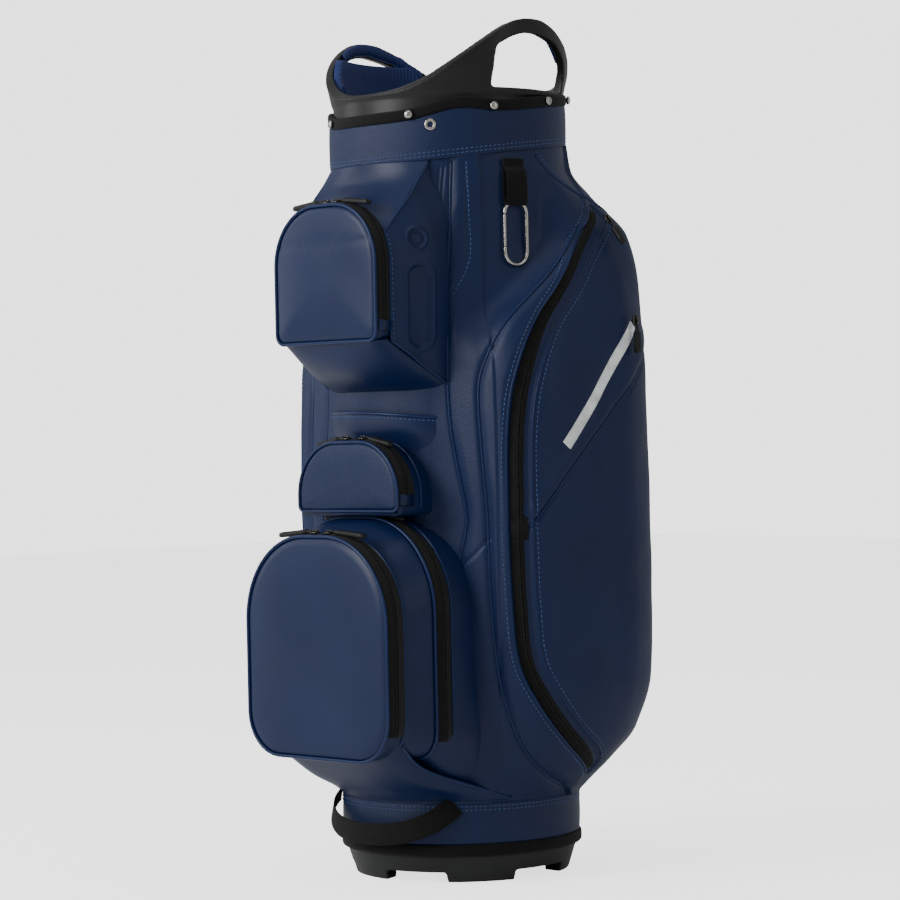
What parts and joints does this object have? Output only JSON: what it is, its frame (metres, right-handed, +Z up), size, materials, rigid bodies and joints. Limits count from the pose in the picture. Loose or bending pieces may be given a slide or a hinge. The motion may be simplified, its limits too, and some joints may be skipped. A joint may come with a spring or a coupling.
{
  "type": "golf cart bag",
  "caption": "Upright golf bag with a moulded top and base, handles, club dividers, zipped front and side pockets, a carabiner and a lift strap.",
  "frame": {"origin": "centre of the base's underside, on the floor", "axes": "+Z up along the bag's trunk, -Y towards the column of front pockets, +X to the side pocket on the right as seen from the front"},
  "size_m": [0.4076, 0.3984, 0.935],
  "materials": {
    "navy_leather": "satin embossed polyurethane leather",
    "base_plastic": "fine textured moulding",
    "collar_plastic": "satin moulding",
    "black_webbing": "woven nylon",
    "zip_tape": "reverse coil zip",
    "liner_fabric": "brushed tricot",
    "ribbed_rubber": "ribbed soft rubber",
    "pull_rubber": "moulded rubber",
    "gunmetal": "gunmetal plate",
    "stud_metal": "nickel plate",
    "stay_aluminium": "drawn",
    "welt_silver": "reflective laminate"
  },
  "bodies": {
    "bag": {"base_cup": "base_plastic", "base_binding": "black_webbing", "base_cuff": "navy_leather", "trunk_skin": "navy_leather", "stay_rods": "stay_aluminium", "divider_sheets": "liner_fabric", "divider_grid": "collar_plastic", "top_collar": "collar_plastic", "grip_liner": "ribbed_rubber", "handle_grips": "ribbed_rubber", "collar_cuff": "navy_leather", "collar_binding": "black_webbing", "snap_studs": "stud_metal", "eyelet": "stud_metal", "back_panel": "navy_leather", "strap_rings": "stud_metal", "shoulder_strap": "black_webbing", "webbing_tab": "black_webbing", "slip_pocket": "navy_leather", "side_pocket_right": "navy_leather", "side_pocket_left": "navy_leather", "side_zip_right": "zip_tape", "side_zip_left": "zip_tape", "slash_welt_right": "welt_silver", "slash_welt_left": "welt_silver", "upper_pocket": "navy_leather", "upper_zip": "zip_tape", "middle_pocket": "navy_leather", "middle_zip": "zip_tape", "rear_gusset": "navy_leather", "rear_zip": "zip_tape"},
    "carabiner": {"carabiner": "gunmetal"},
    "carabiner_gate": {"carabiner_gate": "gunmetal"},
    "lift_strap": {"lift_strap": "black_webbing"},
    "upper_door": {"upper_door": "navy_leather"},
    "middle_door": {"middle_door": "navy_leather"},
    "lower_box": {"lower_box": "navy_leather", "rear_panel": "navy_leather", "lower_zip": "zip_tape"},
    "lower_door": {"lower_door": "navy_leather"},
    "side_slider_right": {"side_slider_right": "gunmetal"},
    "side_slider_left": {"side_slider_left": "gunmetal"},
    "slash_slider_right": {"slash_slider_right": "gunmetal"},
    "slash_slider_left": {"slash_slider_left": "gunmetal"},
    "upper_slider_right": {"upper_slider_right": "gunmetal"},
    "upper_slider_left": {"upper_slider_left": "gunmetal"},
    "middle_slider_right": {"middle_slider_right": "gunmetal"},
    "middle_slider_left": {"middle_slider_left": "gunmetal"},
    "rear_slider_right": {"rear_slider_right": "gunmetal"},
    "rear_slider_left": {"rear_slider_left": "gunmetal"},
    "lower_slider_right": {"lower_slider_right": "gunmetal"},
    "lower_slider_left": {"lower_slider_left": "gunmetal"},
    "side_pull_right": {"side_pull_right": "pull_rubber"},
    "side_pull_left": {"side_pull_left": "pull_rubber"},
    "slash_pull_right": {"slash_pull_right": "pull_rubber"},
    "slash_pull_left": {"slash_pull_left": "pull_rubber"},
    "upper_pull_right": {"upper_pull_right": "pull_rubber"},
    "upper_pull_left": {"upper_pull_left": "pull_rubber"},
    "lower_pull_right": {"lower_pull_right": "pull_rubber"},
    "lower_pull_left": {"lower_pull_left": "pull_rubber"}
  },
  "joints": [
    {"name": "upper_door_fold", "type": "hinge", "parent": "bag", "child": "upper_door", "pos_m": [0, -0.189, 0.586], "axis": [1, 0, 0], "range_deg": [0, 100]},
    {"name": "upper_slider_right_run", "type": "hinge", "parent": "bag", "child": "upper_slider_right", "pos_m": [0.014, -0.179, 0.669], "axis": [0, 1, 0], "range_deg": [0, 80]},
    {"name": "upper_pull_right_lift", "type": "hinge", "parent": "upper_slider_right", "child": "upper_pull_right", "pos_m": [0.013, -0.179, 0.7376], "axis": [0, -1, 0], "range_deg": [0, 75]},
    {"name": "upper_slider_left_run", "type": "hinge", "parent": "bag", "child": "upper_slider_left", "pos_m": [-0.014, -0.179, 0.669], "axis": [0, -1, 0], "range_deg": [0, 80]},
    {"name": "upper_pull_left_lift", "type": "hinge", "parent": "upper_slider_left", "child": "upper_pull_left", "pos_m": [-0.013, -0.179, 0.7376], "axis": [0, 1, 0], "range_deg": [0, 75]},
    {"name": "middle_door_fold", "type": "hinge", "parent": "bag", "child": "middle_door", "pos_m": [0, -0.162, 0.404], "axis": [1, 0, 0], "range_deg": [0, 70]},
    {"name": "middle_slider_right_run", "type": "hinge", "parent": "bag", "child": "middle_slider_right", "pos_m": [0.019, -0.152, 0.42], "axis": [0, 1, 0], "range_deg": [0, 84]},
    {"name": "middle_slider_left_run", "type": "hinge", "parent": "bag", "child": "middle_slider_left", "pos_m": [-0.019, -0.152, 0.42], "axis": [0, -1, 0], "range_deg": [0, 84]},
    {"name": "lower_box_fold", "type": "hinge", "parent": "bag", "child": "lower_box", "pos_m": [0, -0.15, 0.141], "axis": [1, 0, 0], "range_deg": [0, 60]},
    {"name": "rear_slider_right_run", "type": "hinge", "parent": "bag", "child": "rear_slider_right", "pos_m": [0.018, -0.14, 0.292], "axis": [0, 1, 0], "range_deg": [0, 90]},
    {"name": "rear_slider_left_run", "type": "hinge", "parent": "bag", "child": "rear_slider_left", "pos_m": [-0.018, -0.14, 0.292], "axis": [0, -1, 0], "range_deg": [0, 90]},
    {"name": "lower_door_fold", "type": "hinge", "parent": "lower_box", "child": "lower_door", "pos_m": [0, -0.213, 0.141], "axis": [1, 0, 0], "range_deg": [0, 100]},
    {"name": "lower_slider_right_run", "type": "hinge", "parent": "lower_box", "child": "lower_slider_right", "pos_m": [0.016, -0.203, 0.288], "axis": [0, 1, 0], "range_deg": [0, 80]},
    {"name": "lower_pull_right_lift", "type": "hinge", "parent": "lower_slider_right", "child": "lower_pull_right", "pos_m": [0.015, -0.203, 0.3826], "axis": [0, -1, 0], "range_deg": [0, 75]},
    {"name": "lower_slider_left_run", "type": "hinge", "parent": "lower_box", "child": "lower_slider_left", "pos_m": [-0.016, -0.203, 0.288], "axis": [0, -1, 0], "range_deg": [0, 80]},
    {"name": "lower_pull_left_lift", "type": "hinge", "parent": "lower_slider_left", "child": "lower_pull_left", "pos_m": [-0.015, -0.203, 0.3826], "axis": [0, 1, 0], "range_deg": [0, 75]},
    {"name": "side_slider_right_run", "type": "slide", "parent": "bag", "child": "side_slider_right", "axis": [0.2325, -0.678, -0.6974], "range_m": [0, 0.1]},
    {"name": "side_pull_right_swing", "type": "hinge", "parent": "side_slider_right", "child": "side_pull_right", "pos_m": [0.17708, 0.072, 0.71345], "axis": [0, -1, 0], "range_deg": [0, 80]},
    {"name": "slash_slider_right_run", "type": "slide", "parent": "bag", "child": "slash_slider_right", "axis": [0, -0.6247, -0.7809], "range_m": [0, 0.13]},
    {"name": "slash_pull_right_swing", "type": "hinge", "parent": "slash_slider_right", "child": "slash_pull_right", "pos_m": [0.201, 0.084, 0.6], "axis": [0, -1, 0], "range_deg": [0, 80]},
    {"name": "side_slider_left_run", "type": "slide", "parent": "bag", "child": "side_slider_left", "axis": [-0.2325, -0.678, -0.6974], "range_m": [0, 0.1]},
    {"name": "side_pull_left_swing", "type": "hinge", "parent": "side_slider_left", "child": "side_pull_left", "pos_m": [-0.17708, 0.072, 0.71345], "axis": [0, 1, 0], "range_deg": [0, 80]},
    {"name": "slash_slider_left_run", "type": "slide", "parent": "bag", "child": "slash_slider_left", "axis": [0, -0.6247, -0.7809], "range_m": [0, 0.13]},
    {"name": "slash_pull_left_swing", "type": "hinge", "parent": "slash_slider_left", "child": "slash_pull_left", "pos_m": [-0.201, 0.084, 0.6], "axis": [0, 1, 0], "range_deg": [0, 80]},
    {"name": "carabiner_swing", "type": "hinge", "parent": "bag", "child": "carabiner", "pos_m": [0.13487, -0.03363, 0.7355], "axis": [-0.2419, -0.9703, 0], "range_deg": [0, 90]},
    {"name": "carabiner_gate_press", "type": "hinge", "parent": "carabiner", "child": "carabiner_gate", "pos_m": [0.13148, -0.04721, 0.6855], "axis": [-0.9703, 0.2419, 0], "range_deg": [0, 20], "stiffness_Nm_per_rad": 0.1, "springref_deg": -5.73},
    {"name": "lift_strap_swing", "type": "hinge", "parent": "bag", "child": "lift_strap", "pos_m": [0, -0.1033, 0.066], "axis": [-1, 0, 0], "range_deg": [0, 45]}
  ],
  "couplings": [
    {"joint": "upper_slider_right_run", "follows": "upper_door_fold", "ratio": 0.8},
    {"joint": "upper_slider_left_run", "follows": "upper_door_fold", "ratio": 0.8},
    {"joint": "middle_slider_right_run", "follows": "middle_door_fold", "ratio": 1.2},
    {"joint": "middle_slider_left_run", "follows": "middle_door_fold", "ratio": 1.2},
    {"joint": "rear_slider_right_run", "follows": "lower_box_fold", "ratio": 1.5},
    {"joint": "rear_slider_left_run", "follows": "lower_box_fold", "ratio": 1.5},
    {"joint": "lower_slider_right_run", "follows": "lower_door_fold", "ratio": 0.8},
    {"joint": "lower_slider_left_run", "follows": "lower_door_fold", "ratio": 0.8}
  ]
}
